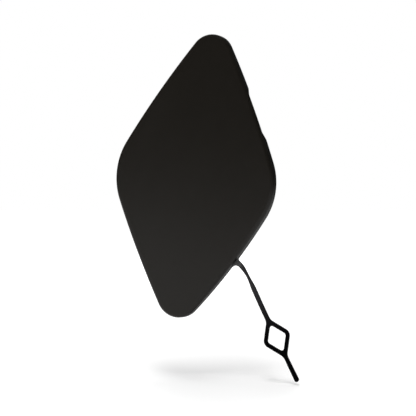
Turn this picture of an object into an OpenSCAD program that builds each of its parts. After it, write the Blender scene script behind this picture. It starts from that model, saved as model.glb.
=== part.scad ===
// Bumper tow hook cover: one injection moulding. A crowned kite-shaped plate closes the opening,
// a skirt with clips behind it holds it there, and a strap with an eye keeps it from being lost.
//
// Everything is drawn lying down: x to the right and y up, as seen from the front, and z out of
// the bumper. The land that meets the bumper is the plane z = 0. The last step stands it up.

/* [Plate outline] */
// Height of the plate from the top corner to the bottom corner
cover_h = 105; // [95:1:115]
// Width of the plate from the left corner to the right corner
cover_w = 61.4; // [56:0.2:68]
// Radius of the top corner
top_r = 7.9; // [7:0.1:10]
// Radius of the bottom corner
bottom_r = 8.4; // [7:0.1:10]
// Radius of the left corner
left_r = 25.4; // [20:0.2:28]
// Radius of the right corner
right_r = 24.4; // [20:0.2:28]
// How far the top corner lies to the right of the middle
top_shift = 6.7; // [4:0.1:9]
// How far the bottom corner lies to the left of the middle
bottom_shift = 6.2; // [4:0.1:9]
// How far the left corner lies below the middle
left_drop = 0.4; // [-3:0.1:4]
// How far the right corner lies below the middle
right_drop = 2.3; // [-2:0.1:5]
// Radius of the slight bow of the sides that hold the clips
side_bow_r = 406; // [300:2:700]
// Radius of the bow of the lower right side, where the strap starts
strap_side_bow_r = 226; // [200:2:400]

/* [Plate section] */
// Height of the front above the land, at the middle of the plate
crown_h = 5.4; // [5.1:0.1:6.4]
// Radius of the crown from left to right
crown_r_across = 500; // [400:10:900]
// Radius of the crown from top to bottom
crown_r_along = 800; // [700:10:1400]
// Thickness of the plate
plate_t = 2.5; // [2:0.1:2.8]
// Thickness of the rim wall, which is the width of the land
rim_t = 2; // [1.6:0.1:2.4]
// Radius of the front edge
edge_r = 1.2; // [0.8:0.1:1.5]
// Radius inside the rim, where it meets the plate
inner_r = 0.6; // [0.3:0.1:0.8]
// Draft of the rim wall in degrees
rim_draft = 4; // [2:0.5:6]

/* [Pry notch] */
// Length of the notch along the rim
notch_l = 20.5; // [14:0.5:24]
// Height of the notch above the land
notch_h = 2.5; // [1.6:0.1:2.6]
// Length of the ramp at each end of the notch
notch_ramp = 3; // [2:0.5:5]
// Place of the notch along the upper right side, from the middle of the side
notch_at = -4; // [-5:0.2:3]

/* [Skirt] */
// Distance from the outer edge of the plate to the skirt
skirt_inset = 4; // [3.6:0.1:4.6]
// Thickness of the skirt
skirt_t = 1.6; // [1.2:0.1:1.8]
// How far the skirt reaches behind the land
skirt_depth = 8; // [7:0.5:10]
// Lead-in chamfer round the outer edge of the skirt
skirt_lead = 0.8; // [0.4:0.1:1]

/* [Bumper] */
// Thickness of the bumper skin that the clips reach behind
skin_t = 3; // [2.5:0.1:3.4]
// Play between the skin and the clips
skin_play = 0.2; // [0.1:0.05:0.4]

/* [Snap tabs] */
// Width of a snap tab
snap_w = 12; // [9:0.5:14]
// How far a snap tab reaches behind the land
snap_depth = 11; // [10:0.5:12]
// How far the nose of a snap tab stands out from the skirt
snap_reach = 1.3; // [1:0.1:1.5]
// Height of the flat on the nose
snap_land = 0.8; // [0.5:0.1:1.2]
// Width of the slot at each side of a snap tab
snap_slot = 1.5; // [1:0.1:2]
// Place of the tab on the upper right side, from the middle of the side
upper_snap_at = -4; // [-5:0.2:3]
// Place of the tab on the lower right side, from the middle of the side
lower_snap_at = 13; // [11:0.2:13.4]

/* [Fixed hooks] */
// Width of a fixed hook
hook_w = 8; // [6:0.5:10]
// How far a fixed hook stands out from the skirt
hook_reach = 2.4; // [1.8:0.1:2.8]
// Thickness of a fixed hook at its tip
hook_t = 1.4; // [1.2:0.1:1.8]
// Place of the hook on the upper left side, from the middle of the side
upper_hook_at = 2; // [-6:0.5:8]
// Distance between the two hooks on the lower left side
lower_hook_pitch = 22; // [18:0.5:26]

/* [Stiffening ribs] */
// Thickness of a rib
rib_t = 1.2; // [1:0.1:1.6]
// How far the ribs reach behind the land
rib_depth = 1; // [0.6:0.1:2]
// Distance between the cross ribs
rib_pitch = 24; // [20:0.5:25]

/* [Strap] */
// Thickness of the strap and its eye
strap_t = 1.6; // [1.2:0.1:2]
// Width of the strap
strap_w = 1.6; // [1.4:0.1:2]
// Width of the strap at its neck, where it bends
neck_w = 0.95; // [0.8:0.05:1.3]
// Distance from the root to the neck
neck_at = 7; // [5:0.5:9]
// Length over which the strap narrows to its neck, and widens again
neck_run = 5; // [3:0.5:5]
// Place of the root along the lower right side, from the middle of the side
root_at = 2.7; // [-2:0.1:3.4]
// Fillet on the upper side of the root
root_upper_r = 0.6; // [0.3:0.1:1.5]
// Fillet on the lower side of the root
root_lower_r = 2.4; // [1.5:0.1:3]
// How far the middle of the eye lies to the right of the root
eye_reach = 15.1; // [13:0.1:17]
// How far the middle of the eye lies below the root
eye_fall = 27.6; // [26:0.1:30]
// Lean of the eye and the tail from upright, in degrees
eye_lean = 26.6; // [24:0.2:31]
// Length of the opening in the eye, along the strap
eye_l = 11.2; // [9:0.1:13]
// Width of the opening in the eye
eye_w = 7.7; // [6.5:0.1:9]
// Radius in the corners of the opening
eye_corner_r = 1.1; // [0.8:0.1:1.3]
// Width of the bars round the opening
eye_bar = 1.4; // [1.2:0.1:1.7]
// Fillet where the strap and the tail run into the eye
web_r = 3; // [2:0.1:4]
// Width of the tail at its round end
tail_w = 1.6; // [1.4:0.1:2]
// Width of the tail where it leaves the eye
tail_neck_w = 1.4; // [1.2:0.1:1.8]
// Distance from the middle of the eye to the end of the tail
tail_reach = 17.2; // [15:0.1:20]

/* [Smoothness] */
// Steps round each corner of the plate
corner_steps = 16; // [10:2:22]
// Steps along each side of the plate
side_steps = 10; // [6:2:16]

/* [Hidden] */
plastic = "#272422";

// Corners and sides run anticlockwise: right, top, left, bottom; upper right, upper left and so on
UPPER_RIGHT = 0;
UPPER_LEFT = 1;
LOWER_LEFT = 2;
LOWER_RIGHT = 3;
corner_r = [right_r, top_r, left_r, bottom_r];
corner_c = [
    [cover_w / 2 - right_r, -right_drop],
    [top_shift, cover_h / 2 - top_r],
    [left_r - cover_w / 2, -left_drop],
    [-bottom_shift, bottom_r - cover_h / 2]
];
side_r = [side_bow_r, side_bow_r, side_bow_r, strap_side_bow_r];

edge_steps = 5;
inner_steps = 3;
fillet_steps = 6;
crown_shares = [0.82, 0.62, 0.42, 0.2];
strap_steps = 28;
// Shares of the strap's reach that its curve spends on leaving the rim and on entering the eye
bend_out_share = 0.23;
bend_in_share = 0.55;
// Power that crowds the steps of the strap towards its root, where it bends most
root_crowding = 1.5;
rib_rows = [-1.5, -0.5, 0.5, 1.5];
catch_depth = skin_t + skin_play;
// How far the tip of a snap tab lies in from the skirt, so that it finds the opening
snap_tip_in = skirt_t / 4;
// Room that a cut keeps beyond the face it opens
cut_over = 1;

// Plain geometry in the plane
function unit(v) = v / norm(v);
function heading(v) = atan2(v[1], v[0]);
function polar(r, a) = r * [cos(a), sin(a)];
function quarter_left(v) = [-v[1], v[0]];
function turn(a) = a > 180 ? a - 360 : a < -180 ? a + 360 : a;

// Arc of radius r that rounds the corner b between a and c
function rounded_corner(a, b, c, r) =
    let (
        u = unit(a - b),
        v = unit(c - b),
        half = acos(u * v) / 2,
        middle = b + unit(u + v) * r / sin(half),
        start = b + u * r / tan(half) - middle,
        sweep = turn(heading(b + v * r / tan(half) - middle) - heading(start))
    )
    [for (k = [0:fillet_steps]) middle + polar(r, heading(start) + sweep * k / fillet_steps)];

// Closed outline with a radius at every corner, where 0 leaves the corner sharp
function rounded_outline(points, radii) =
    let (n = len(points))
    [for (i = [0:n - 1])
        each (radii[i] == 0
            ? [points[i]]
            : rounded_corner(points[(i + n - 1) % n], points[i], points[(i + 1) % n], radii[i]))];

// Centre of the long arc of side i, which runs smoothly into the corners at both its ends
function side_c(i) =
    let (
        k = (i + 1) % 4,
        near = side_r[i] - corner_r[i],
        far = side_r[i] - corner_r[k],
        span = corner_c[k] - corner_c[i],
        along = (near * near - far * far + span * span) / (2 * norm(span))
    )
    corner_c[i] + unit(span) * along + quarter_left(unit(span)) * sqrt(near * near - along * along);

// Directions from the centre of side i to its two ends
function side_start(i) = heading(corner_c[i] - side_c(i));
function side_sweep(i) = turn(heading(corner_c[(i + 1) % 4] - side_c(i)) - side_start(i));
function side_heading(i, at) = side_start(i) + side_sweep(i) / 2 + at / side_r[i] * 180 / PI;

// Point on side i, a distance along it from its middle and a distance in from the edge
function side_point(i, at, inset) = side_c(i) + polar(side_r[i] - inset, side_heading(i, at));

// Outward directions all round the plate, one for each point of its outline
function corner_headings(i) =
    let (start = side_start((i + 3) % 4) + side_sweep((i + 3) % 4), sweep = turn(side_start(i) - start))
    [for (k = [0:corner_steps - 1]) start + sweep * k / corner_steps];
function side_headings(i) = [for (k = [0:side_steps - 1]) side_start(i) + side_sweep(i) * k / side_steps];

// Outline of the plate, drawn in by inset
function plate_outline(inset) = [
    for (i = [0:3])
        each concat(
            [for (a = corner_headings(i)) corner_c[i] + polar(corner_r[i] - inset, a)],
            [for (a = side_headings(i)) side_c(i) + polar(side_r[i] - inset, a)]
        )
];
edge = plate_outline(0);
inward = plate_outline(1) - edge;
count = len(edge);

// Height of the front face over a point of the plan
function crown_z(p) = crown_h - p[0] * p[0] / (2 * crown_r_across) - p[1] * p[1] / (2 * crown_r_along);

// Height that the skirt, tabs and ribs start from. It is in the plate everywhere, between the top
// of the hollow at the middle and the lowest front over the skirt.
lowest_front = min([for (p = plate_outline(skirt_inset)) crown_z(p)]);
root_z = (crown_h - plate_t + lowest_front) / 2;

// Ring of points round the plate. A section point is its distance in from the edge and its height.
function ring(section) = [
    for (i = [0:count - 1])
        let (s = section[i], p = edge[i] + inward[i] * s[0])
        [p[0], p[1], s[1]]
];

// Where a drafted wall that starts at start_inset on the land is at height z
function wall_inset(start_inset, z) = start_inset + z * tan(rim_draft);

// Rings from the land up the outer wall and over the front edge
function outer_rings() = [
    ring([for (p = edge) [0, 0]]),
    for (k = [0:edge_steps])
        let (a = 90 * k / edge_steps)
        ring([for (p = edge)
            let (z = crown_z(p) - edge_r)
            [wall_inset(0, z) + edge_r * (1 - cos(a)), z + edge_r * sin(a)]])
];

// Rings from the land up the inner wall and through the radius under the plate
function inner_rings() = [
    ring([for (p = edge) [rim_t, 0]]),
    for (k = [0:inner_steps])
        let (a = 90 * k / inner_steps)
        ring([for (p = edge)
            let (z = crown_z(p) - plate_t - inner_r)
            [wall_inset(rim_t, z) + inner_r * (1 - cos(a)), z + inner_r * sin(a)]])
];

// Rings that carry a face from its last wall ring towards the middle, a depth under the crown
function face_rings(last, depth) = [
    for (share = crown_shares)
        [for (q = last) let (p = [q[0], q[1]] * share) [p[0], p[1], crown_z(p) - depth]]
];

// Faces between ring a and ring b, seen from the side where a lies below b and runs to the right
function band(a, b) = [
    for (i = [0:count - 1])
        let (k = (i + 1) % count)
        each [[a * count + i, b * count + i, b * count + k], [a * count + i, b * count + k, a * count + k]]
];

// Faces between the last ring and the point in its middle
function fan(last, middle) = [
    for (i = [0:count - 1])
        [last * count + i, middle, last * count + (i + 1) % count]
];

// The same faces, seen from their other side
function flipped(faces) = [for (f = faces) [f[2], f[1], f[0]]];

// Puts children on side i: x points out of the plate, y runs along the side
module on_side(i, at, inset) {
    translate(side_point(i, at, inset))
        rotate(side_heading(i, at))
            children();
}

// Section in x and z, drawn out along y to the given width about the middle
module pulled(width) {
    translate([0, width / 2, 0])
        rotate([90, 0, 0])
            linear_extrude(width)
                children();
}

// Plate with its rim wall, as one skin swept round the outline
module plate() {
    outer = outer_rings();
    inner = inner_rings();
    front = concat(outer, face_rings(outer[len(outer) - 1], 0));
    back = concat(inner, face_rings(inner[len(inner) - 1], plate_t));
    rings = concat(front, back);
    front_end = len(front) - 1;
    back_start = len(front);
    back_end = len(rings) - 1;
    points = [for (r = rings) each r];
    tips = [[0, 0, crown_h], [0, 0, crown_h - plate_t]];
    polyhedron(
        points = concat(points, tips),
        faces = concat(
            [for (k = [0:front_end - 1]) each band(k, k + 1)],
            fan(front_end, len(points)),
            flipped([for (k = [back_start:back_end - 1]) each band(k, k + 1)]),
            flipped(fan(back_end, len(points) + 1)),
            flipped(band(0, back_start))
        )
    );
}

// Notch in the rim for the tip of a pry tool, with a ramp at each end
module notch_cut() {
    on_side(UPPER_RIGHT, notch_at, (rim_t + skirt_inset) / 2)
        rotate([90, 0, 90])
            linear_extrude(skirt_inset + cut_over)
                polygon([
                    [-notch_l / 2, -cut_over],
                    [-notch_l / 2, 0],
                    [notch_ramp - notch_l / 2, notch_h],
                    [notch_l / 2 - notch_ramp, notch_h],
                    [notch_l / 2, 0],
                    [notch_l / 2, -cut_over]
                ]);
}

// Rear edge of the skirt, narrowed by the lead-in chamfer
module skirt_tip() {
    section = [
        [skirt_inset, skirt_lead],
        [skirt_inset + skirt_lead, 0],
        [skirt_inset + skirt_t, 0],
        [skirt_inset + skirt_t, skirt_lead]
    ];
    n = len(section);
    translate([0, 0, -skirt_depth])
        polyhedron(
            points = [for (s = section) each ring([for (p = edge) s])],
            faces = [for (k = [0:n - 1]) each flipped(band(k, (k + 1) % n))]
        );
}

// Room in the skirt for a snap tab and the slot at each side of it
module snap_window(side, at) {
    on_side(side, at, skirt_inset + skirt_t / 2)
        translate([-skirt_t, -snap_w / 2 - snap_slot, -skirt_depth - cut_over])
            cube([2 * skirt_t, snap_w + 2 * snap_slot, skirt_depth + root_z + 2 * cut_over]);
}

// Skirt that enters the opening in the bumper
module skirt() {
    difference() {
        union() {
            translate([0, 0, skirt_lead - skirt_depth])
                linear_extrude(skirt_depth - skirt_lead + root_z)
                    difference() {
                        polygon(plate_outline(skirt_inset));
                        polygon(plate_outline(skirt_inset + skirt_t));
                    }
            skirt_tip();
        }
        snap_window(UPPER_RIGHT, upper_snap_at);
        snap_window(LOWER_RIGHT, lower_snap_at);
    }
}

// Springy tab with a nose that snaps behind the bumper skin
module snap_tab(side, at) {
    on_side(side, at, skirt_inset)
        pulled(snap_w)
            polygon([
                [-skirt_t, root_z],
                [0, root_z],
                [0, -catch_depth],
                [snap_reach, -catch_depth],
                [snap_reach, -catch_depth - snap_land],
                [-snap_tip_in, -snap_depth],
                [-skirt_t, -snap_depth]
            ]);
}

// Fixed hook that slides behind the bumper skin first
module fixed_hook(side, at) {
    on_side(side, at, skirt_inset)
        pulled(hook_w)
            polygon([
                [-skirt_t / 2, -catch_depth],
                [hook_reach, -catch_depth],
                [hook_reach, -catch_depth - hook_t],
                [0, skirt_lead - skirt_depth],
                [-skirt_t / 2, skirt_lead - skirt_depth]
            ]);
}

// One rib down the middle from corner to corner and the ribs across it
module ribs() {
    spine = corner_c[1] - corner_c[3];
    translate([0, 0, -rib_depth])
        linear_extrude(rib_depth + root_z)
            intersection() {
                polygon(plate_outline(skirt_inset + skirt_t / 2));
                union() {
                    translate((corner_c[1] + corner_c[3]) / 2)
                        rotate(heading(spine))
                            square([2 * cover_h, rib_t], center = true);
                    for (row = rib_rows)
                        translate([0, row * rib_pitch])
                            square([2 * cover_w, rib_t], center = true);
                }
            }
}

root = side_point(LOWER_RIGHT, root_at, 0);
root_out = polar(1, side_heading(LOWER_RIGHT, root_at));
eye_c = root + [eye_reach, -eye_fall];
eye_down = polar(1, eye_lean - 90);
eye_slope = atan2(eye_w, eye_l);
// Half length and half width of the eye's outside, to its sharp corners
eye_out_l = eye_l / 2 + eye_bar / sin(eye_slope);
eye_out_w = eye_w / 2 + eye_bar / cos(eye_slope);

// Middle line of the strap: it leaves the rim squarely, bends down and runs on into the eye
strap_end = eye_c - eye_down * eye_out_l;
strap_span = norm(strap_end - root);
bend_out = root + root_out * bend_out_share * strap_span;
bend_in = strap_end - eye_down * bend_in_share * strap_span;
function strap_at(t) =
    pow(1 - t, 3) * root + 3 * pow(1 - t, 2) * t * bend_out
    + 3 * (1 - t) * t * t * bend_in + pow(t, 3) * strap_end;
function strap_along(t) = unit(
    pow(1 - t, 2) * (bend_out - root) + 2 * (1 - t) * t * (bend_in - bend_out)
    + t * t * (strap_end - bend_in)
);

// Half of the strap's width a distance from its root, with the fillet that spreads it on the rim
function neck_share(s) = abs(s - neck_at) < neck_run ? pow(1 - pow((s - neck_at) / neck_run, 2), 2) : 0;
function fillet_spread(s, r) = s < r ? r - sqrt(r * r - (r - s) * (r - s)) : 0;
function strap_half(s, r) = (strap_w - (strap_w - neck_w) * neck_share(s)) / 2 + fillet_spread(s, r);

// One edge of the strap from the rim to the eye. Side is 1 for the upper edge and -1 for the lower.
function strap_edge(side, r) = [
    root - root_out * rim_t / 2 + quarter_left(root_out) * side * strap_half(0, r),
    for (k = [0:strap_steps])
        let (t = pow(k / strap_steps, root_crowding), p = strap_at(t))
        p + quarter_left(strap_along(t)) * side * strap_half(norm(p - root), r)
];

// Outside of the eye with the ends of the strap and the tail, drawn with the tail along x
function eye_outside() =
    let (
        in_w = strap_w / 2,
        out_w = tail_neck_w / 2,
        start = -eye_out_l - strap_w,
        end = tail_reach - tail_w / 2,
        in_x = -eye_out_l * (1 - in_w / eye_out_w),
        out_x = eye_out_l * (1 - out_w / eye_out_w),
        corner = eye_corner_r + eye_bar
    )
    rounded_outline(
        [
            [start, in_w], [start, -in_w], [in_x, -in_w], [0, -eye_out_w], [out_x, -out_w],
            [end, -tail_w / 2], [end, tail_w / 2], [out_x, out_w], [0, eye_out_w], [in_x, in_w]
        ],
        [0, 0, web_r, corner, web_r, 0, 0, web_r, corner, web_r]
    );

// Strap, eye and tail: flat, flush with the land, and thin enough to bend
module strap() {
    linear_extrude(strap_t)
        union() {
            upper = strap_edge(1, root_upper_r);
            lower = strap_edge(-1, root_lower_r);
            polygon(concat(upper, [for (k = [len(lower) - 1:-1:0]) lower[k]]));
            translate(eye_c)
                rotate(heading(eye_down))
                    difference() {
                        union() {
                            polygon(eye_outside());
                            translate([tail_reach - tail_w / 2, 0])
                                circle(d = tail_w, $fn = 32);
                        }
                        polygon(rounded_outline(
                            [[-eye_l / 2, 0], [0, -eye_w / 2], [eye_l / 2, 0], [0, eye_w / 2]],
                            [for (k = [0:3]) eye_corner_r]
                        ));
                    }
        }
}

module tow_hook_cover() {
    // Stands the cover up as it sits in the bumper, with its front towards -y
    color(plastic)
        rotate([90, 0, 0]) {
            difference() {
                plate();
                notch_cut();
            }
            skirt();
            ribs();
            snap_tab(UPPER_RIGHT, upper_snap_at);
            snap_tab(LOWER_RIGHT, lower_snap_at);
            fixed_hook(UPPER_LEFT, upper_hook_at);
            for (end = [-1, 1])
                fixed_hook(LOWER_LEFT, end * lower_hook_pitch / 2);
            strap();
        }
}

tow_hook_cover();
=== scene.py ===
"""Bumper tow hook cover: one black moulding, shown in a plain studio.

The cover is drawn in millimetres and lying down, as its mould would be: x to the right and y up,
as seen from the front, and z out of the bumper, with the land that meets the bumper at z = 0.
The finished mesh is turned upright and to metres once, at the end.
"""

import logging
import math
from dataclasses import dataclass
from enum import Enum
from typing import Callable, Sequence

import bmesh
import bpy
from bmesh.types import BMEdge, BMesh, BMVert
from mathutils import Matrix, Quaternion, Vector


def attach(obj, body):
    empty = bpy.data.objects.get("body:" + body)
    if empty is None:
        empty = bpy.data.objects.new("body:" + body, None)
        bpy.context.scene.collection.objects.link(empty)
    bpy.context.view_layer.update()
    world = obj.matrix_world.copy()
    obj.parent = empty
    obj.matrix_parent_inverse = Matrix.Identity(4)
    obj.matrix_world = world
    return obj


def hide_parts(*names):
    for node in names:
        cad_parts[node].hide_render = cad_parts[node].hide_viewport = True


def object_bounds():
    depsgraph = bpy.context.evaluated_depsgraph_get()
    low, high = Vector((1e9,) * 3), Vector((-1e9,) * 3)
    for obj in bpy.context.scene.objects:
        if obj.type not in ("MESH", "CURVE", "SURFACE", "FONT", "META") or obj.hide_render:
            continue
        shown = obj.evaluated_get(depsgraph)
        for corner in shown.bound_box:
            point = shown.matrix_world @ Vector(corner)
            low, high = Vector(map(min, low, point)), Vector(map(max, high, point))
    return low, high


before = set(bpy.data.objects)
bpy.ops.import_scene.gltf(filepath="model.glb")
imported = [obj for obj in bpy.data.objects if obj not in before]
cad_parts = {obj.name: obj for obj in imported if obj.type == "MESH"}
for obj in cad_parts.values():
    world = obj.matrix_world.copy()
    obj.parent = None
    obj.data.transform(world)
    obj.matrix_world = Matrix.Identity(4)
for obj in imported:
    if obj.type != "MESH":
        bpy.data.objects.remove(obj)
CAD_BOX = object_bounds()

LOG = logging.getLogger("tow_hook_cover")
NODE = "tow_hook_cover"
BODY = "root"

# Lengths are in millimetres until the cover is turned upright.
MM = 0.001
WELD = 0.0005
SEAM = 0.02
# Least turn between two faces, in radians, at which their edge counts as an edge of the form.
ANY_TURN = 0.1
ROUND_STEPS = 2
FINE_ROUND_STEPS = 3
INWARD = "inward"
Z = Vector((0.0, 0.0, 1.0))
STAND_UP = Matrix.Scale(MM, 4) @ Matrix.Rotation(math.radians(90.0), 4, "X")

Pair = tuple[float, float]
Colour = tuple[float, float, float]


class Side(Enum):
    """The four long sides of the plate, anticlockwise as seen from the front."""

    UPPER_RIGHT = 0
    UPPER_LEFT = 1
    LOWER_LEFT = 2
    LOWER_RIGHT = 3


class Join(Enum):
    """Ways to put one solid to another."""

    ADD = "UNION"
    CUT = "DIFFERENCE"
    KEEP = "INTERSECT"


class Skin(Enum):
    """The surfaces of the cover, in the order of the material slots."""

    FACE = 0
    REAR = 1
    STRAP = 2
    WALL = 3


def polar(radius: float, angle: float) -> Vector:
    """Point at a radius and an angle in radians."""
    return Vector((radius * math.cos(angle), radius * math.sin(angle), 0.0))


def heading(v: Vector) -> float:
    """Angle of a vector in the plane, in radians."""
    return math.atan2(v.y, v.x)


def shortest(angle: float) -> float:
    """The same turn, between minus half and half a turn."""
    return (angle + math.pi) % (2.0 * math.pi) - math.pi


def quarter_left(v: Vector) -> Vector:
    """A vector in the plane turned a quarter to the left."""
    return Vector((-v.y, v.x, 0.0))


def new_verts(geom: Sequence) -> list[BMVert]:
    """The vertices among what an operator made."""
    return [g for g in geom if isinstance(g, BMVert)]


def added(elements: Sequence, before: set) -> list:
    """The vertices, edges or faces that a mesh has gained since before."""
    return [element for element in elements if element not in before]


def grow(bm: BMesh, edges: Sequence[BMEdge], place: Callable[[BMVert], Vector]) -> list[BMEdge]:
    """Extrudes a run of edges and puts each new vertex in its place.

    Args:
        bm: Mesh that the edges belong to.
        edges: Edges to extrude.
        place: Gives the place of a new vertex, which still lies on the old one.

    Returns:
        The new run of edges.
    """
    made = bmesh.ops.extrude_edge_only(bm, edges=list(edges))["geom"]
    verts = new_verts(made)
    for vert in verts:
        vert.co = place(vert)
    fresh = set(verts)
    return [e for e in made if isinstance(e, BMEdge) and fresh.issuperset(e.verts)]


def round_edges(
    bm: BMesh, edges: Sequence[BMEdge], offset: float, segments: int = ROUND_STEPS, slide: bool = True
) -> None:
    """Rounds edges.

    Args:
        bm: Mesh that the edges belong to.
        edges: Edges to round.
        offset: Distance from the edge to where the round starts.
        segments: Faces across the round.
        slide: Whether the round's rim stays on the edges that meet it. It is evenly wide otherwise.
    """
    bmesh.ops.bevel(
        bm, geom=list(edges), offset=offset, offset_type="OFFSET", segments=segments,
        profile=0.5, affect="EDGES", clamp_overlap=False, loop_slide=slide, material=-1,
    )


def round_corners(bm: BMesh, verts: Sequence[BMVert], radius: float, segments: int) -> None:
    """Rounds the corners of a flat outline, each by its own angle.

    Args:
        bm: Mesh that the outline belongs to.
        verts: Corners, with two edges each.
        radius: Radius of every round.
        segments: Steps round each corner.
    """
    for vert in verts:
        a, b = (edge.other_vert(vert).co - vert.co for edge in vert.link_edges)
        bmesh.ops.bevel(
            bm, geom=[vert], offset=radius / math.tan(a.angle(b) / 2.0), offset_type="OFFSET",
            segments=segments, profile=0.5, affect="VERTICES", clamp_overlap=False, material=-1,
        )


def sharp_edges(bm: BMesh, least: float = ANY_TURN) -> list[BMEdge]:
    """Edges at which two faces turn by more than an angle."""
    return [e for e in bm.edges if len(e.link_faces) == 2 and e.calc_face_angle() > least]


def closed(bm: BMesh, skin: Skin = Skin.REAR) -> BMesh:
    """Welds a solid's seams, turns its faces outwards and gives all of them one skin.

    Args:
        bm: Mesh of the solid.
        skin: Surface that its faces belong to.

    Returns:
        The same mesh.
    """
    bmesh.ops.remove_doubles(bm, verts=bm.verts[:], dist=WELD)
    bmesh.ops.recalc_face_normals(bm, faces=bm.faces[:])
    for face in bm.faces:
        face.material_index = skin.value
        face.smooth = True
    return bm


def pulled(profile: Sequence[Pair], width: float, rounding: float) -> BMesh:
    """Makes a solid from a section in x and z, drawn out along y about the middle.

    Args:
        profile: Corners of the section.
        width: Width of the solid.
        rounding: Size of the round along every edge.

    Returns:
        The closed solid.
    """
    bm = bmesh.new()
    corners = [bm.verts.new((x, -width / 2.0, z)) for x, z in profile]
    section = bmesh.ops.contextual_create(bm, geom=corners)["faces"]
    made = bmesh.ops.extrude_face_region(bm, geom=section)["geom"]
    bmesh.ops.translate(bm, verts=new_verts(made), vec=(0.0, width, 0.0))
    round_edges(bm, sharp_edges(bm), rounding)
    return closed(bm)


def block(low: Vector, high: Vector, rounding: float) -> BMesh:
    """Makes a box between two corners.

    Args:
        low: Corner with the least x, y and z.
        high: Corner with the greatest x, y and z.
        rounding: Size of the round along every edge.

    Returns:
        The closed solid.
    """
    bm = bmesh.new()
    size = high - low
    bmesh.ops.create_cube(
        bm, size=1.0, matrix=Matrix.Translation((low + high) / 2.0) @ Matrix.Diagonal((*size, 1.0))
    )
    round_edges(bm, bm.edges[:], rounding, FINE_ROUND_STEPS)
    return closed(bm)


def solid(bm: BMesh, name: str, place: Matrix = Matrix.Identity(4)) -> bpy.types.Object:
    """Turns a finished bmesh into an object.

    Args:
        bm: Mesh, which is freed.
        name: Name of the object.
        place: Where the mesh goes.

    Returns:
        The new object, at the origin.
    """
    bmesh.ops.transform(bm, matrix=place, verts=bm.verts[:])
    mesh = bpy.data.meshes.new(name)
    bm.to_mesh(mesh)
    bm.free()
    for _ in Skin:
        mesh.materials.append(None)
    made = bpy.data.objects.new(name, mesh)
    bpy.context.scene.collection.objects.link(made)
    return made


def put(base: bpy.types.Object, tool: bpy.types.Object, how: Join) -> bpy.types.Object:
    """Adds one solid to another, or cuts it away, and removes the tool.

    Args:
        base: Solid that is kept.
        tool: Solid that is used up.
        how: What is done with it.

    Returns:
        The base with its new mesh.
    """
    step = base.modifiers.new(how.name, "BOOLEAN")
    step.operation = how.value
    step.object = tool
    step.solver = "EXACT"
    bpy.context.view_layer.update()
    shaped = base.evaluated_get(bpy.context.evaluated_depsgraph_get())
    mesh = bpy.data.meshes.new_from_object(shaped)
    base.modifiers.clear()
    spent = [base.data, tool.data]
    base.data = mesh
    bpy.data.objects.remove(tool)
    for old in spent:
        bpy.data.meshes.remove(old)
    return base


@dataclass(frozen=True)
class Arc:
    """One arc of the plate's outline."""

    centre: Vector
    radius: float
    start: float
    sweep: float
    steps: int

    def point(self, turn: float, inset: float = 0.0) -> Vector:
        """Point of the arc at an angle, drawn in by inset."""
        return self.centre + polar(self.radius - inset, turn)

    def middle(self, along: float = 0.0) -> float:
        """Angle a distance along the arc from its middle."""
        return self.start + self.sweep / 2.0 + along / self.radius


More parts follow.
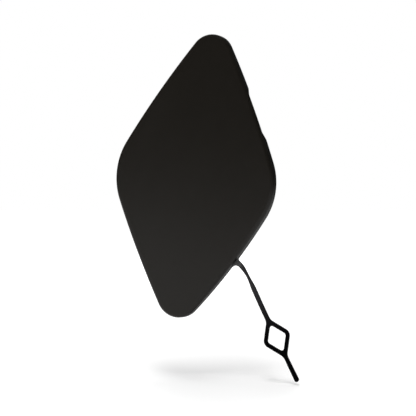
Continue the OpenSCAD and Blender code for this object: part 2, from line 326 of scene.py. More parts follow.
@dataclass(frozen=True)
class Outline:
    """Outline of the plate: four corner arcs that run smoothly into four long side arcs."""

    height: float = 105.0
    width: float = 61.4
    top_r: float = 7.9
    bottom_r: float = 8.4
    left_r: float = 25.4
    right_r: float = 24.4
    top_shift: float = 6.7
    bottom_shift: float = 6.2
    left_drop: float = 0.4
    right_drop: float = 2.3
    side_bow_r: float = 406.0
    strap_side_bow_r: float = 226.0
    corner_steps: int = 40
    side_steps: int = 32

    def corners(self) -> list[tuple[Vector, float]]:
        """Centre and radius of the right, top, left and bottom corner."""
        return [
            (Vector((self.width / 2.0 - self.right_r, -self.right_drop, 0.0)), self.right_r),
            (Vector((self.top_shift, self.height / 2.0 - self.top_r, 0.0)), self.top_r),
            (Vector((self.left_r - self.width / 2.0, -self.left_drop, 0.0)), self.left_r),
            (Vector((-self.bottom_shift, self.bottom_r - self.height / 2.0, 0.0)), self.bottom_r),
        ]

    def side(self, side: Side) -> Arc:
        """Works out the long arc of one side.

        Args:
            side: Which side.

        Returns:
            The arc that touches the corner arcs at both its ends.
        """
        corners = self.corners()
        (first, first_r), (last, last_r) = corners[side.value], corners[(side.value + 1) % 4]
        radius = self.strap_side_bow_r if side is Side.LOWER_RIGHT else self.side_bow_r
        near, far, span = radius - first_r, radius - last_r, last - first
        along = (near**2 - far**2 + span.length_squared) / (2.0 * span.length)
        across = math.sqrt(near**2 - along**2)
        centre = first + span.normalized() * along + quarter_left(span.normalized()) * across
        start = heading(first - centre)
        return Arc(centre, radius, start, shortest(heading(last - centre) - start), self.side_steps)

    def arcs(self) -> list[Arc]:
        """Works out the whole outline.

        Returns:
            All eight arcs in order, from the right corner anticlockwise.
        """
        sides = [self.side(side) for side in Side]
        arcs = []
        for before, after, (centre, radius) in zip(sides[-1:] + sides, sides, self.corners()):
            start = before.start + before.sweep
            arcs.append(Arc(centre, radius, start, shortest(after.start - start), self.corner_steps))
            arcs.append(after)
        return arcs

    def trace(self, bm: BMesh, inset: float = 0.0) -> list[BMEdge]:
        """Draws the outline by spinning one vertex round each arc in turn.

        Args:
            bm: Mesh to draw in. Its vertices get the direction that points into the plate.
            inset: How far the outline is drawn in.

        Returns:
            The closed run of edges.
        """
        inward = bm.verts.layers.float_vector.get(INWARD) or bm.verts.layers.float_vector.new(INWARD)
        arcs = self.arcs()
        old_verts, old_edges = set(bm.verts), set(bm.edges)
        tip = bm.verts.new(arcs[0].point(arcs[0].start, inset))
        for arc in arcs:
            known = set(bm.verts) - {tip}
            tip = bmesh.ops.spin(
                bm, geom=[tip], cent=arc.centre, axis=Z, angle=arc.sweep, steps=arc.steps,
                use_duplicate=False,
            )["geom_last"][0]
            for vert in added(bm.verts, known):
                vert[inward] = (arc.centre - vert.co).normalized()
        bmesh.ops.remove_doubles(bm, verts=added(bm.verts, old_verts), dist=SEAM)
        return added(bm.edges, old_edges)

    def prism(self, inset: float, low: float, high: float) -> BMesh:
        """Makes a straight solid of the outline.

        Args:
            inset: How far the outline is drawn in.
            low: Height of its rear end.
            high: Height of its front end.

        Returns:
            The closed solid.
        """
        bm = bmesh.new()
        run = self.trace(bm, inset)
        base = bmesh.ops.contextual_create(bm, geom=run)["faces"]
        made = bmesh.ops.extrude_face_region(bm, geom=base)["geom"]
        bmesh.ops.translate(bm, verts=bm.verts[:], vec=(0.0, 0.0, low))
        bmesh.ops.translate(bm, verts=new_verts(made), vec=(0.0, 0.0, high - low))
        return closed(bm)

    def on_side(self, side: Side, at: float, inset: float) -> Matrix:
        """Finds the frame of a place on a side.

        Args:
            side: Which side.
            at: Distance along it from its middle.
            inset: How far in from the edge.

        Returns:
            The frame, in which x points out of the plate and y runs along the side.
        """
        arc = self.side(side)
        turn = arc.middle(at)
        return Matrix.Translation(arc.point(turn, inset)) @ Matrix.Rotation(turn, 4, "Z")


@dataclass(frozen=True)
class Crown:
    """The slightly domed front."""

    height: float = 5.4
    across_r: float = 500.0
    along_r: float = 800.0

    def z(self, p: Vector) -> float:
        """Height of the front over a point of the plan."""
        return self.height - p.x**2 / (2.0 * self.across_r) - p.y**2 / (2.0 * self.along_r)


@dataclass(frozen=True)
class Plate:
    """The crowned plate and its drafted rim wall, as one skin with a land at its back edge."""

    outline: Outline
    crown: Crown
    thickness: float = 2.5
    rim_t: float = 2.0
    edge_r: float = 1.2
    inner_r: float = 0.6
    draft: float = math.radians(4.0)
    land_round: float = 0.18
    edge_segments: int = 8
    crown_rings: int = 14
    face_from: float = 0.5

    def wall_inset(self, start: float, z: float) -> float:
        """Where a drafted wall that starts at an inset on the land is at height z."""
        return start + z * math.tan(self.draft)

    def skin(self, bm: BMesh, start: list[BMEdge], inset: float, depth: float, reach: float) -> None:
        """Builds one side of the plate: a wall, a rounded edge and a crowned face.

        Args:
            bm: Mesh to build in.
            start: Run of edges on the land that the wall rises from.
            inset: How far that run lies in from the edge.
            depth: How far the face lies under the front.
            reach: Distance from the corner between wall and face to where its round starts.
        """
        inward = bm.verts.layers.float_vector[INWARD]

        def up_wall(vert: BMVert) -> Vector:
            """Place at the top of the wall, over a vertex of the land."""
            z = self.crown.z(vert.co) - depth
            return vert.co + vert[inward] * (self.wall_inset(inset, z) - inset) + Z * z

        ring = corner = grow(bm, start, up_wall)
        for k in range(self.crown_rings - 1, 0, -1):
            shrink = k / (k + 1.0)
            ring = grow(bm, ring, lambda vert: self.on_face(vert.co * shrink, depth))
        pole = self.on_face(Vector((0.0, 0.0, 0.0)), depth)
        innermost = list(dict.fromkeys(v for e in ring for v in e.verts))
        bmesh.ops.pointmerge(bm, verts=innermost, merge_co=pole)
        round_edges(bm, corner, reach, self.edge_segments)

    def on_face(self, p: Vector, depth: float) -> Vector:
        """Point over p on the surface that lies a depth under the front."""
        return Vector((p.x, p.y, self.crown.z(p) - depth))

    def build(self) -> BMesh:
        """Builds the plate.

        Returns:
            The closed solid, with skins for the front, the outer wall and the hollow.
        """
        bm = bmesh.new()
        outer = self.outline.trace(bm)
        inward = bm.verts.layers.float_vector[INWARD]
        self.skin(bm, outer, 0.0, 0.0, self.edge_r * math.tan((math.pi / 2.0 - self.draft) / 2.0))
        front = set(bm.faces)
        inner = grow(bm, outer, lambda vert: vert.co + vert[inward] * self.rim_t)
        reach = self.inner_r * math.tan((math.pi / 2.0 + self.draft) / 2.0)
        self.skin(bm, inner, self.rim_t, self.thickness, reach)
        bmesh.ops.recalc_face_normals(bm, faces=bm.faces[:])
        for face in bm.faces:
            outside = Skin.FACE if face.normal.z > self.face_from else Skin.WALL
            face.material_index = (outside if face in front else Skin.REAR).value
            face.smooth = True
        round_edges(bm, outer + inner, self.land_round)
        bmesh.ops.recalc_face_normals(bm, faces=bm.faces[:])
        return bm


@dataclass(frozen=True)
class Notch:
    """Notch in the rim for the tip of a pry tool, with a ramp at each end."""

    length: float = 20.5
    height: float = 2.5
    ramp: float = 3.0
    at: float = -4.0
    corner_r: float = 1.2
    corner_steps: int = 5
    over: float = 1.0

    def build(self, depth: float) -> BMesh:
        """Builds the cutter.

        Args:
            depth: How far it reaches through the rim.

        Returns:
            The closed solid, with its depth along x and its length along y.
        """
        half = self.length / 2.0
        bm = bmesh.new()
        profile = [
            (-half, -self.over), (-half, 0.0), (self.ramp - half, self.height),
            (half - self.ramp, self.height), (half, 0.0), (half, -self.over),
        ]
        corners = [bm.verts.new((0.0, y, z)) for y, z in profile]
        bmesh.ops.contextual_create(bm, geom=corners)
        round_corners(bm, [v for v in bm.verts if v.co.z >= 0.0], self.corner_r, self.corner_steps)
        made = bmesh.ops.extrude_face_region(bm, geom=bm.faces[:])["geom"]
        bmesh.ops.translate(bm, verts=new_verts(made), vec=(depth, 0.0, 0.0))
        return closed(bm, Skin.FACE)


@dataclass(frozen=True)
class Skirt:
    """Wall behind the plate that enters the opening in the bumper."""

    outline: Outline
    inset: float = 4.0
    thickness: float = 1.6
    depth: float = 8.0
    lead: float = 0.8
    rounding: float = 0.2

    def build(self, root_z: float) -> BMesh:
        """Builds the skirt as a ring of walls with a lead-in at its rear edge.

        Args:
            root_z: Height in the plate that the wall starts from.

        Returns:
            The closed solid.
        """
        bm = bmesh.new()
        outside = self.outline.trace(bm, self.inset)
        inward = bm.verts.layers.float_vector[INWARD]
        bmesh.ops.translate(bm, verts=bm.verts[:], vec=Z * root_z)
        ring = grow(bm, outside, lambda v: v.co - Z * (root_z + self.depth - self.lead))
        rounded = list(ring)
        ring = grow(bm, ring, lambda v: v.co + v[inward] * self.lead - Z * self.lead)
        rounded += ring
        ring = grow(bm, ring, lambda v: v.co + v[inward] * (self.thickness - self.lead))
        rounded += ring
        ring = grow(bm, ring, lambda v: v.co + Z * (root_z + self.depth))
        grow(bm, ring, lambda v: v.co - v[inward] * self.thickness)
        round_edges(bm, rounded, self.rounding)
        return closed(bm)


@dataclass(frozen=True)
class SnapTab:
    """Springy tab with a nose that snaps behind the bumper skin, in a window of the skirt."""

    side: Side
    at: float
    width: float = 12.0
    depth: float = 11.0
    reach: float = 1.3
    land: float = 0.8
    slot: float = 1.5
    rounding: float = 0.22
    window_r: float = 0.6
    over: float = 1.0

    def build(self, skirt: Skirt, root_z: float, catch: float) -> BMesh:
        """Builds the tab in the frame of its side.

        Args:
            skirt: Wall that the tab lies in.
            root_z: Height in the plate that the tab starts from.
            catch: How far behind the land the nose starts.

        Returns:
            The closed solid.
        """
        back, tip_in = -skirt.thickness, -skirt.thickness / 4.0
        return pulled(
            [
                (back, root_z), (0.0, root_z), (0.0, -catch), (self.reach, -catch),
                (self.reach, -catch - self.land), (tip_in, -self.depth), (back, -self.depth),
            ],
            self.width, self.rounding,
        )

    def window(self, skirt: Skirt, root_z: float) -> BMesh:
        """Builds what the skirt loses for the tab and the slot at each side of it.

        Args:
            skirt: Wall that the window is cut in.
            root_z: Height in the plate that the tab starts from.

        Returns:
            The closed solid, in the frame of the tab's side.
        """
        half = self.width / 2.0 + self.slot
        low = Vector((-2.0 * skirt.thickness, -half, -skirt.depth - self.over))
        return block(low, Vector((skirt.thickness, half, root_z + self.over)), self.window_r)


@dataclass(frozen=True)
class FixedHook:
    """Hook on the skirt that slides behind the bumper skin first."""

    side: Side
    at: float
    width: float = 8.0
    reach: float = 2.4
    tip_t: float = 1.4
    rounding: float = 0.22

    def build(self, skirt: Skirt, catch: float) -> BMesh:
        """Builds the hook in the frame of its side.

        Args:
            skirt: Wall that the hook's root lies inside.
            catch: How far behind the land the hook starts.

        Returns:
            The closed solid.
        """
        root = -skirt.thickness / 2.0
        heel = skirt.lead - skirt.depth
        return pulled(
            [
                (root, -catch), (self.reach, -catch), (self.reach, -catch - self.tip_t),
                (0.0, heel), (root, heel),
            ],
            self.width, self.rounding,
        )


@dataclass(frozen=True)
class Ribs:
    """One rib down the middle of the plate's back and the ribs across it."""

    outline: Outline
    thickness: float = 1.2
    depth: float = 1.0
    pitch: float = 24.0
    rows: tuple[float, ...] = (-1.5, -0.5, 0.5, 1.5)
    rounding: float = 0.25

    def bar(self, half_length: float, root_z: float) -> BMesh:
        """Builds one rib along x.

        Args:
            half_length: Half of its length, which reaches past the skirt.
            root_z: Height in the plate that it starts from.

        Returns:
            The closed solid.
        """
        half_t = self.thickness / 2.0
        low = Vector((-half_length, -half_t, -self.depth))
        return block(low, Vector((half_length, half_t, root_z)), self.rounding)

    def build(self, skirt: Skirt, root_z: float) -> bpy.types.Object:
        """Builds all ribs and trims them inside the skirt wall.

        Args:
            skirt: Wall that the ribs run into.
            root_z: Height in the plate that the ribs start from.

        Returns:
            The ribs as one solid object.
        """
        corners = self.outline.corners()
        top, bottom = corners[1][0], corners[3][0]
        spine = Matrix.Translation((top + bottom) / 2.0)
        spine @= Matrix.Rotation(heading(top - bottom), 4, "Z")
        ribs = solid(self.bar(self.outline.height, root_z), "spine", spine)
        for row in self.rows:
            place = Matrix.Translation((0.0, row * self.pitch, 0.0))
            put(ribs, solid(self.bar(self.outline.width, root_z), "cross_rib", place), Join.ADD)
        room = self.outline.prism(skirt.inset + skirt.thickness / 2.0, -2.0 * self.depth, 2.0 * root_z)
        return put(ribs, solid(room, "room"), Join.KEEP)


@dataclass(frozen=True)
class Strap:
    """The flat strap that keeps the cover from being lost, with its eye and its tail."""

    outline: Outline
    thickness: float = 1.6
    width: float = 1.6
    neck_w: float = 0.95
    neck_at: float = 7.0
    neck_run: float = 5.0
    root_at: float = 2.7
    root_upper_r: float = 0.6
    root_lower_r: float = 2.4
    eye_reach: float = 15.1
    eye_fall: float = 27.6
    eye_lean: float = math.radians(26.6)
    eye_l: float = 11.2
    eye_w: float = 7.7
    eye_corner_r: float = 1.1
    eye_bar: float = 1.4
    web_r: float = 3.0
    tail_w: float = 1.6
    tail_neck_w: float = 1.4
    tail_reach: float = 17.2
    bend_out: float = 0.23
    bend_in: float = 0.55
    crowding: float = 1.5
    buried: float = 1.0
    rounding: float = 0.28
    sharp_from: float = math.radians(70.0)
    tip_share: float = 0.9998
    steps: int = 56
    corner_segments: int = 8
    web_segments: int = 4

    @property
    def root_angle(self) -> float:
        """Direction in which the strap leaves the rim."""
        return self.outline.side(Side.LOWER_RIGHT).middle(self.root_at)

    @property
    def root(self) -> Vector:
        """Where the strap leaves the rim."""
        return self.outline.side(Side.LOWER_RIGHT).point(self.root_angle)

    @property
    def eye_frame(self) -> Matrix:
        """Frame in the middle of the eye, with x along the tail."""
        centre = self.root + Vector((self.eye_reach, -self.eye_fall, 0.0))
        return Matrix.Translation(centre) @ Matrix.Rotation(self.eye_lean - math.pi / 2.0, 4, "Z")

    @property
    def eye_out(self) -> Pair:
        """Half length and half width of the eye's outside, to its sharp corners."""
        slope = math.atan2(self.eye_w, self.eye_l)
        return (
            self.eye_l / 2.0 + self.eye_bar / math.sin(slope),
            self.eye_w / 2.0 + self.eye_bar / math.cos(slope),
        )

    def controls(self) -> list[Vector]:
        """Works out the curve that the middle of the strap follows.

        Returns:
            The four points of the curve, from the rim to the eye.
        """
        end = self.eye_frame @ Vector((-self.eye_out[0], 0.0, 0.0))
        down = self.eye_frame.to_3x3() @ Vector((1.0, 0.0, 0.0))
        reach = (end - self.root).length
        return [
            self.root, self.root + polar(self.bend_out * reach, self.root_angle),
            end - down * self.bend_in * reach, end,
        ]

    def half_width(self, s: float, fillet: float) -> float:
        """Half width of the strap a distance from its root.

        Args:
            s: Distance from the root.
            fillet: Radius with which this edge spreads on the rim.

        Returns:
            Half of the width, with the neck and the fillet.
        """
        away = abs(s - self.neck_at) / self.neck_run
        neck = (1.0 - away**2) ** 2 if away < 1.0 else 0.0
        return (self.width - (self.width - self.neck_w) * neck) / 2.0 + self.spread(s, fillet)

    @staticmethod
    def spread(s: float, fillet: float) -> float:
        """How much a fillet adds a distance from the wall that it runs into."""
        return fillet - math.sqrt(fillet**2 - (fillet - s) ** 2) if s < fillet else 0.0

    def crossing(self, t: float) -> tuple[Vector, Vector]:
        """Upper and lower edge of the strap at one place along its curve.

        Args:
            t: Place along the curve, from 0 at the rim to 1 at the eye.

        Returns:
            The point on the upper edge and the one on the lower edge.
        """
        a, b, c, d = self.controls()
        u = 1.0 - t
        middle = u**3 * a + 3.0 * u**2 * t * b + 3.0 * u * t**2 * c + t**3 * d
        along = (u**2 * (b - a) + 2.0 * u * t * (c - b) + t**2 * (d - c)).normalized()
        s = (middle - self.root).length
        left = quarter_left(along)
        return (
            middle + left * self.half_width(s, self.root_upper_r),
            middle - left * self.half_width(s, self.root_lower_r),
        )

    def ribbon(self, bm: BMesh) -> None:
        """Draws the strap from inside the rim to the eye, as one edge that is extruded along it.

        Args:
            bm: Mesh to draw in.
        """
        upper, lower = self.crossing(0.0)
        out = polar(self.buried, self.root_angle)
        flare = quarter_left(out)
        edge = bm.edges.new([bm.verts.new(p) for p in (upper + flare - out, lower - flare - out)])
        for k in range(self.steps + 1):
            pair = self.crossing((k / self.steps) ** self.crowding)
            made = bmesh.ops.extrude_edge_only(bm, edges=[edge])["geom"]
            verts = new_verts(made)
            verts.sort(key=lambda v: (v.co - pair[0]).length - (v.co - pair[1]).length)
            verts[0].co, verts[1].co = pair
            edge = next(e for e in verts[0].link_edges if e.other_vert(verts[0]) is verts[1])

    def eye(self, bm: BMesh) -> None:
        """Draws the eye as a band between its two rounded outlines, and the tail beyond it.

        Args:
            bm: Mesh to draw in.
        """
        out_l, out_w = self.eye_out
        half_in, half_out = self.width / 2.0, self.tail_neck_w / 2.0
        near, far = -out_l * (1.0 - half_in / out_w), out_l * (1.0 - half_out / out_w)
        place = self.eye_frame

        def loop(points: Sequence[Pair]) -> list[BMVert]:
            """Draws a closed run of edges.

            Args:
                points: Corners, in the eye's frame.

            Returns:
                The vertices in the same order.
            """
            verts = [bm.verts.new(place @ Vector((x, y, 0.0))) for x, y in points]
            for a, b in zip(verts, verts[1:] + verts[:1]):
                bm.edges.new((a, b))
            return verts

        known = set(bm.edges)
        outside = loop([
            (-out_l, half_in), (-out_l, -half_in), (near, -half_in), (0.0, -out_w), (far, -half_out),
            (out_l, -half_out), (out_l, half_out), (far, half_out), (0.0, out_w), (near, half_in),
        ])
        tail_edge = next(e for e in outside[5].link_edges if e.other_vert(outside[5]) is outside[6])
        corner_r = self.eye_corner_r + self.eye_bar
        round_corners(bm, [outside[k] for k in (3, 8)], corner_r, self.corner_segments)
        round_corners(bm, [outside[k] for k in (2, 4, 7, 9)], self.web_r, self.web_segments)
        bound = added(bm.edges, known)
        known = set(bm.edges)
        half_l, half_w = self.eye_l / 2.0, self.eye_w / 2.0
        inside = loop([(-half_l, 0.0), (0.0, -half_w), (half_l, 0.0), (0.0, half_w)])
        round_corners(bm, inside, self.eye_corner_r, self.corner_segments)
        band = bmesh.ops.bridge_loops(bm, edges=bound + added(bm.edges, known))["faces"]
        inverse = place.inverted()
        # Two plain faces have no narrow ones between them that the round could fold.
        upper = [f for f in band if (inverse @ f.calc_center_median()).y > 0.0]
        lower = [f for f in band if f not in upper]
        for half in (upper, lower):
            bmesh.ops.dissolve_faces(bm, faces=half, use_verts=False)
        self.tail(bm, tail_edge)

    def tail(self, bm: BMesh, start: BMEdge) -> None:
        """Draws the tail beyond the eye and rounds its end.

        Args:
            bm: Mesh to draw in.
            start: Edge of the eye that the tail grows from.
        """
        inverse = self.eye_frame.inverted()
        end_x, half = self.tail_reach, self.tail_w / 2.0

        def at_end(vert: BMVert) -> Vector:
            """Place at the end of the tail, on the same side of its middle."""
            side = math.copysign(half, (inverse @ vert.co).y)
            return self.eye_frame @ Vector((end_x, side, 0.0))

        tip = grow(bm, [start], at_end)[0]
        bmesh.ops.bevel(
            bm, geom=list(tip.verts), offset=half * self.tip_share, offset_type="OFFSET",
            segments=self.corner_segments, profile=0.5, affect="VERTICES", clamp_overlap=False,
            material=-1,
        )

    def build(self) -> BMesh:
        """Builds the strap flush with the land.

        Returns:
            The closed solid.
        """
        bm = bmesh.new()
        self.ribbon(bm)
        self.eye(bm)
        bmesh.ops.remove_doubles(bm, verts=bm.verts[:], dist=WELD)
        made = bmesh.ops.extrude_face_region(bm, geom=bm.faces[:])["geom"]
        bmesh.ops.translate(bm, vec=(0.0, 0.0, self.thickness), verts=new_verts(made))
        bmesh.ops.recalc_face_normals(bm, faces=bm.faces[:])
        round_edges(bm, sharp_edges(bm, self.sharp_from), self.rounding, FINE_ROUND_STEPS, slide=False)
        return closed(bm, Skin.STRAP)


@dataclass(frozen=True)
class CoverMoulding:
    """The whole cover: every form that the mould gives it, joined into one solid."""

    outline: Outline = Outline()
    crown: Crown = Crown()
    notch: Notch = Notch()
    skin_t: float = 3.0
    skin_play: float = 0.2
    upper_snap_at: float = -4.0
    lower_snap_at: float = 13.0
    upper_hook_at: float = 2.0
    lower_hook_pitch: float = 22.0
    sharp_from: float = math.radians(24.0)

    def root_z(self, plate: Plate, skirt: Skirt) -> float:
        """Finds a height that is inside the plate everywhere, for the forms behind it to start from.

        Args:
            plate: Plate that they grow from.
            skirt: Skirt, which lies where the plate is lowest.

        Returns:
            The height over the land.
        """
        bm = bmesh.new()
        self.outline.trace(bm, skirt.inset)
        lowest = min(self.crown.z(vert.co) for vert in bm.verts)
        bm.free()
        return (self.crown.height - plate.thickness + lowest) / 2.0

    def build(self) -> bpy.types.Object:
        """Builds the cover.

        Returns:
            The finished piece, upright and in metres.
        """
        plate, skirt = Plate(self.outline, self.crown), Skirt(self.outline)
        strap = Strap(self.outline)
        catch, root_z = self.skin_t + self.skin_play, self.root_z(plate, skirt)
        tabs = (
            SnapTab(Side.UPPER_RIGHT, self.upper_snap_at),
            SnapTab(Side.LOWER_RIGHT, self.lower_snap_at),
        )
        half_pitch = self.lower_hook_pitch / 2.0
        hooks = (
            FixedHook(Side.UPPER_LEFT, self.upper_hook_at),
            FixedHook(Side.LOWER_LEFT, -half_pitch),
            FixedHook(Side.LOWER_LEFT, half_pitch),
        )
        notch_inset = (plate.rim_t + skirt.inset) / 2.0
        notch_place = self.outline.on_side(Side.UPPER_RIGHT, self.notch.at, notch_inset)
        notch_depth = skirt.inset + self.notch.over

        cover = self.report(solid(plate.build(), NODE + "_moulding"), "plate")
        put(cover, solid(self.notch.build(notch_depth), "notch", notch_place), Join.CUT)
        walls = solid(skirt.build(root_z), "skirt")
        for tab in tabs:
            window_place = self.outline.on_side(tab.side, tab.at, skirt.inset + skirt.thickness / 2.0)
            put(walls, solid(tab.window(skirt, root_z), "window", window_place), Join.CUT)
        for hook in hooks:
            hook_place = self.outline.on_side(hook.side, hook.at, skirt.inset)
            put(walls, solid(hook.build(skirt, catch), "hook", hook_place), Join.ADD)
        for tab in tabs:
            tab_place = self.outline.on_side(tab.side, tab.at, skirt.inset)
            put(walls, solid(tab.build(skirt, root_z, catch), "tab", tab_place), Join.ADD)
        put(walls, Ribs(self.outline).build(skirt, root_z), Join.ADD)
        put(cover, self.report(walls, "skirt, hooks, tabs and ribs"), Join.ADD)
        put(cover, self.report(solid(strap.build(), "strap"), "strap and eye"), Join.ADD)
        cover.data.transform(STAND_UP)
        cover.data.set_sharp_from_angle(angle=self.sharp_from)
        return self.report(cover, "whole cover")

    @staticmethod
    def report(made: bpy.types.Object, what: str) -> bpy.types.Object:
        """Logs how large a form is and hands it on."""
        size = [round(x, 4) for x in made.dimensions]
        LOG.info("%s: %d faces, %s", what, len(made.data.polygons), size)
        return made

    def dress(self, cover: bpy.types.Object) -> None:
        """Gives the cover its finishes and sets it in the frame.

        Args:
            cover: The built piece.
        """
        for skin, finish in FINISHES.items():
            cover.data.materials[skin.value] = finish.material()
        shading = cover.modifiers.new("even_shading", "WEIGHTED_NORMAL")
        shading.keep_sharp = True
        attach(cover, BODY)
        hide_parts(NODE)


def mould_group() -> bpy.types.NodeTree:
    """Builds the node group for the surface that a mould leaves on plastic.

    Returns:
        The group, which puts out a colour, a roughness and a height.
    """
    group = bpy.data.node_groups.new("mould_surface", "ShaderNodeTree")
    colour, number = "NodeSocketColor", "NodeSocketFloat"
    ports = {
        "INPUT": (
            ("Colour", colour), ("Cloud Colour", colour), ("Roughness", number),
            ("Roughness Spread", number), ("Grain per Metre", number), ("Cloud per Metre", number),
        ),
        "OUTPUT": (("Colour", colour), ("Roughness", number), ("Height", number)),
    }
    for way, sockets in ports.items():
        for name, kind in sockets:
            group.interface.new_socket(name, in_out=way, socket_type=kind)
    nodes, link = group.nodes, group.links.new
    given, out = nodes.new("NodeGroupInput"), nodes.new("NodeGroupOutput")
    place = nodes.new("ShaderNodeTexCoord")
    cloud, grain = nodes.new("ShaderNodeTexNoise"), nodes.new("ShaderNodeTexNoise")
    cloud.inputs["Detail"].default_value = 3.0
    grain.inputs["Detail"].default_value = 2.0
    for noise, scale in ((cloud, "Cloud per Metre"), (grain, "Grain per Metre")):
        link(place.outputs["Object"], noise.inputs["Vector"])
        link(given.outputs[scale], noise.inputs["Scale"])
    tint = nodes.new("ShaderNodeMix")
    tint.data_type = "RGBA"
    link(cloud.outputs["Fac"], tint.inputs["Factor"])
    link(given.outputs["Colour"], tint.inputs[6])
    link(given.outputs["Cloud Colour"], tint.inputs[7])
    link(tint.outputs[2], out.inputs["Colour"])
    shift = nodes.new("ShaderNodeMath")
    shift.operation = "SUBTRACT"
    link(cloud.outputs["Fac"], shift.inputs[0])
    shift.inputs[1].default_value = 0.5
    rough = nodes.new("ShaderNodeMath")
    rough.operation = "MULTIPLY_ADD"
    link(shift.outputs[0], rough.inputs[0])
    link(given.outputs["Roughness Spread"], rough.inputs[1])
    link(given.outputs["Roughness"], rough.inputs[2])
    link(rough.outputs[0], out.inputs["Roughness"])
    link(grain.outputs["Fac"], out.inputs["Height"])
    return group


@dataclass(frozen=True)
class MouldedPlastic:
    """Black plastic, as one surface of the mould leaves it."""

    name: str
    colour: Colour
    cloud_colour: Colour
    roughness: float
    roughness_spread: float
    grain_per_m: float
    grain_depth: float
    cloud_per_m: float = 55.0
    shine: float = 0.5

    def material(self) -> bpy.types.Material:
        """Builds the material.

        Returns:
            A material that reads the mould group in Object coordinates.
        """
        made = bpy.data.materials.new(self.name)
        made.use_nodes = True
        nodes, link = made.node_tree.nodes, made.node_tree.links.new
        shader = nodes["Principled BSDF"]
        surface = nodes.new("ShaderNodeGroup")
        surface.node_tree = bpy.data.node_groups.get("mould_surface") or mould_group()
        surface.inputs["Colour"].default_value = (*self.colour, 1.0)
        surface.inputs["Cloud Colour"].default_value = (*self.cloud_colour, 1.0)
        surface.inputs["Roughness"].default_value = self.roughness
        surface.inputs["Roughness Spread"].default_value = self.roughness_spread
        surface.inputs["Grain per Metre"].default_value = self.grain_per_m
        surface.inputs["Cloud per Metre"].default_value = self.cloud_per_m
        bump = nodes.new("ShaderNodeBump")
        bump.inputs["Strength"].default_value = 1.0
        bump.inputs["Distance"].default_value = self.grain_depth
        link(surface.outputs["Height"], bump.inputs["Height"])
        link(bump.outputs["Normal"], shader.inputs["Normal"])
        link(self.tone(made.node_tree, surface.outputs["Colour"]), shader.inputs["Base Color"])
        link(surface.outputs["Roughness"], shader.inputs["Roughness"])
        shader.inputs["Specular IOR Level"].default_value = self.shine
        return made

    def tone(self, tree: bpy.types.NodeTree, colour: bpy.types.NodeSocket) -> bpy.types.NodeSocket:
        """Hands on the colour of the mould group as it is."""
        return colour


@dataclass(frozen=True)
class StrapPlasticPaintedLightAndShade(MouldedPlastic):
    """Moulded plastic with a painted highlight at the strap's root and painted shade that darkens it
    down at the eye.
    """

    painted_light_colour: Colour = (0.05, 0.05, 0.05)
    painted_light_centre: tuple[float, float, float] = (0.0, 0.0, 0.0)
    painted_light_from: float = 0.001
    painted_light_to: float = 0.005
    painted_shade_colour: Colour = (0.0, 0.0, 0.0)
    painted_shade_from_z: float = 0.0
    painted_shade_to_z: float = -0.05

    def tone(self, tree: bpy.types.NodeTree, colour: bpy.types.NodeSocket) -> bpy.types.NodeSocket:
        """Mixes the painted highlight in near the root, and the painted shade over a stretch of
        height.

        Args:
            tree: Node tree of the material.
            colour: Colour from the mould group.

        Returns:
            The mixed colour.
        """
        nodes, link = tree.nodes, tree.links.new
        place, split = nodes.new("ShaderNodeTexCoord"), nodes.new("ShaderNodeSeparateXYZ")
        away = nodes.new("ShaderNodeVectorMath")
        away.operation = "DISTANCE"
        away.inputs[1].default_value = self.painted_light_centre
        link(place.outputs["Object"], away.inputs[0])
        link(place.outputs["Object"], split.inputs[0])
        # First a painted highlight round the strap's root, then painted shade that darkens the strap
        # downwards.
        steps = (
            (away.outputs["Value"], self.painted_light_to, self.painted_light_from, self.painted_light_colour),
            (split.outputs["Z"], self.painted_shade_from_z, self.painted_shade_to_z, self.painted_shade_colour),
        )
        for value, start, end, other in steps:
            fade, mix = nodes.new("ShaderNodeMapRange"), nodes.new("ShaderNodeMix")
            fade.interpolation_type = "SMOOTHSTEP"
            fade.inputs["From Min"].default_value = start
            fade.inputs["From Max"].default_value = end
            mix.data_type = "RGBA"
            mix.inputs[7].default_value = (*other, 1.0)
            link(value, fade.inputs["Value"])
            link(fade.outputs["Result"], mix.inputs[0])
            link(colour, mix.inputs[6])
            colour = mix.outputs[2]
        return colour


FINISHES = {
    Skin.FACE: MouldedPlastic(
        name="satin_face", colour=(0.0100, 0.0085, 0.0066), cloud_colour=(0.0112, 0.0096, 0.0076),
        roughness=0.32, roughness_spread=0.05, grain_per_m=900.0, grain_depth=0.000001, shine=0.29,
    ),
    Skin.REAR: MouldedPlastic(
        name="plain_rear", colour=(0.0110, 0.0105, 0.0100), cloud_colour=(0.0125, 0.0120, 0.0115),
        roughness=0.42, roughness_spread=0.12, grain_per_m=1400.0, grain_depth=0.000006,
    ),
    Skin.WALL: MouldedPlastic(
        name="satin_wall", colour=(0.0110, 0.0100, 0.0090), cloud_colour=(0.0125, 0.0115, 0.0100),
        roughness=0.36, roughness_spread=0.05, grain_per_m=900.0, grain_depth=0.000001, shine=0.04,
    ),
    Skin.STRAP: StrapPlasticPaintedLightAndShade(
        name="dull_strap", colour=(0.0300, 0.0290, 0.0310), cloud_colour=(0.0350, 0.0340, 0.0360),
        roughness=0.5, roughness_spread=0.1, grain_per_m=1400.0, grain_depth=0.000004, shine=0.03,
        # Painted highlight on the strap's root, and painted shade that darkens the strap towards the
        # eye and tail.
        painted_light_colour=(0.1200, 0.1190, 0.1190), painted_light_centre=(0.0157, -0.0020, -0.0312), painted_light_from=0.0008,
        painted_light_to=0.0038, painted_shade_colour=(0.0008, 0.0008, 0.0012), painted_shade_from_z=-0.038, painted_shade_to_z=-0.059,
    ),
}


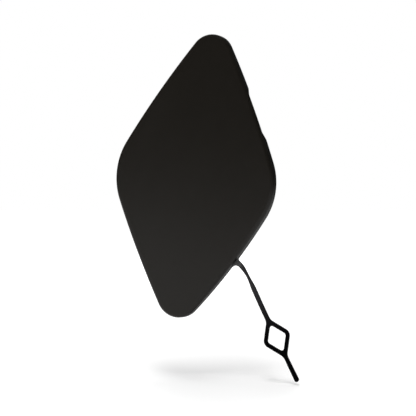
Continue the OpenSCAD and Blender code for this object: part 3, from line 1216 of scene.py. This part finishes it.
@dataclass(frozen=True)
class Lamp:
    """Soft lamp that points at the cover. Its angles are in degrees, its size in metres."""

    name: str
    azimuth: float
    elevation: float
    distance: float
    size: Pair
    power: float
    in_gloss: bool
    roll: float = 0.0

    def build(self, target: Vector) -> None:
        """Adds the lamp.

        Args:
            target: Point that it shines on.
        """
        lamp = bpy.data.lights.new(self.name, "AREA")
        lamp.shape = "RECTANGLE"
        lamp.size, lamp.size_y = self.size
        lamp.energy = self.power
        made = bpy.data.objects.new(self.name, lamp)
        away = direction(self.azimuth, self.elevation)
        made.location = target + away * self.distance
        rolled = Quaternion((0.0, 0.0, 1.0), math.radians(self.roll))
        made.rotation_euler = (away.to_track_quat("Z", "Y") @ rolled).to_euler()
        made.visible_camera = False
        made.visible_glossy = self.in_gloss
        bpy.context.scene.collection.objects.link(made)


def direction(azimuth: float, elevation: float) -> Vector:
    """Direction away from the cover, in degrees. Azimuth 0 is in front, at -y, and 90 is at +x."""
    a, e = math.radians(azimuth), math.radians(elevation)
    return Vector((math.sin(a) * math.cos(e), -math.cos(a) * math.cos(e), math.sin(e)))


@dataclass(frozen=True)
class Studio:
    """Plain white studio: a floor that keeps the shadow, soft lamps and the camera."""

    floor_gap: float = 0.001
    floor_size: float = 40.0
    floor_white: float = 0.8
    floor_lift: float = 0.25
    lift_from: float = 0.12
    lift_to: float = 0.9
    room: float = 0.05
    lamps: tuple[Lamp, ...] = (
        Lamp(
            name="key_lamp", azimuth=-23.0, elevation=80.5, roll=40.0, distance=1.1, size=(0.3, 1.3),
            power=14.0, in_gloss=False,
        ),
        Lamp(
            name="front_lamp", azimuth=-35.0, elevation=5.0, distance=0.9, size=(0.4, 0.4),
            power=3.1, in_gloss=False,
        ),
        Lamp(
            name="rear_lamp", azimuth=202.0, elevation=42.0, distance=0.9, size=(0.5, 0.5),
            power=2.0, in_gloss=True,
        ),
    )
    target: Vector = Vector((0.00466, 0.0, -0.0116))
    azimuth: float = 17.0
    elevation: float = 0.0
    distance: float = 0.3643
    lens: float = 85.0
    sensor: float = 36.0
    clip: Pair = (0.01, 100.0)

    def build(self) -> None:
        """Builds the floor, the room, the lamps and the camera."""
        bpy.context.scene.view_settings.view_transform = "Standard"
        self.build_floor()
        self.build_room()
        for lamp in self.lamps:
            lamp.build(self.target)
        self.build_camera()

    def build_floor(self) -> None:
        """Builds the floor just under the tail, white to the camera but for the shadow."""
        bm = bmesh.new()
        low = Vector((0.0, 0.0, CAD_BOX[0].z - self.floor_gap))
        bmesh.ops.create_grid(
            bm, x_segments=1, y_segments=1, size=self.floor_size / 2.0, matrix=Matrix.Translation(low)
        )
        mesh = bpy.data.meshes.new("floor")
        bm.to_mesh(mesh)
        bm.free()
        floor = bpy.data.objects.new("floor", mesh)
        bpy.context.scene.collection.objects.link(floor)
        mesh.materials.append(self.floor_paint())

    def floor_paint(self) -> bpy.types.Material:
        """Builds the floor's finish: matt white that glows a little, and fully far away.

        Returns:
            A material that glows for the camera only, so that it puts no light on the cover.
        """
        paint = bpy.data.materials.new("floor_white")
        paint.use_nodes = True
        nodes, link = paint.node_tree.nodes, paint.node_tree.links.new
        nodes.remove(nodes["Principled BSDF"])
        matt, lift = nodes.new("ShaderNodeBsdfDiffuse"), nodes.new("ShaderNodeEmission")
        both = nodes.new("ShaderNodeAddShader")
        path, amount = nodes.new("ShaderNodeLightPath"), nodes.new("ShaderNodeMath")
        place, away = nodes.new("ShaderNodeTexCoord"), nodes.new("ShaderNodeVectorMath")
        rise = nodes.new("ShaderNodeMapRange")
        matt.inputs["Color"].default_value = (*(self.floor_white,) * 3, 1.0)
        away.operation = "LENGTH"
        rise.interpolation_type = "SMOOTHSTEP"
        rise.inputs["From Min"].default_value = self.lift_from
        rise.inputs["From Max"].default_value = self.lift_to
        rise.inputs["To Min"].default_value = self.floor_lift
        rise.inputs["To Max"].default_value = 1.0
        amount.operation = "MULTIPLY"
        link(place.outputs["Object"], away.inputs[0])
        link(away.outputs["Value"], rise.inputs["Value"])
        link(rise.outputs["Result"], amount.inputs[1])
        link(path.outputs["Is Camera Ray"], amount.inputs[0])
        link(amount.outputs[0], lift.inputs["Strength"])
        link(matt.outputs[0], both.inputs[0])
        link(lift.outputs[0], both.inputs[1])
        link(both.outputs[0], nodes["Material Output"].inputs["Surface"])
        return paint

    def build_room(self) -> None:
        """Builds the world: white behind the cover, and a dim even room for its light."""
        world = bpy.data.worlds.new("studio_room")
        bpy.context.scene.world = world
        world.use_nodes = True
        nodes, link = world.node_tree.nodes, world.node_tree.links.new
        room = nodes["Background"]
        room.inputs["Color"].default_value = (1.0, 1.0, 1.0, 1.0)
        path, level = nodes.new("ShaderNodeLightPath"), nodes.new("ShaderNodeMix")
        level.data_type = "FLOAT"
        level.inputs[2].default_value = self.room
        level.inputs[3].default_value = 1.0
        link(path.outputs["Is Camera Ray"], level.inputs[0])
        link(level.outputs[0], room.inputs["Strength"])

    def build_camera(self) -> None:
        """Builds the camera at the photograph's angle."""
        lens = bpy.data.cameras.new("camera")
        lens.lens = self.lens
        lens.sensor_width = self.sensor
        lens.clip_start, lens.clip_end = self.clip
        camera = bpy.data.objects.new("camera", lens)
        away = direction(self.azimuth, self.elevation)
        camera.location = self.target + away * self.distance
        camera.rotation_euler = away.to_track_quat("Z", "Y").to_euler()
        bpy.context.scene.collection.objects.link(camera)
        bpy.context.scene.camera = camera


def main() -> None:
    """Builds the cover, dresses it and sets it in the studio."""
    logging.basicConfig(level=logging.INFO, format="%(message)s")
    moulding = CoverMoulding()
    moulding.dress(moulding.build())
    Studio().build()


if __name__ == "__main__":
    main()
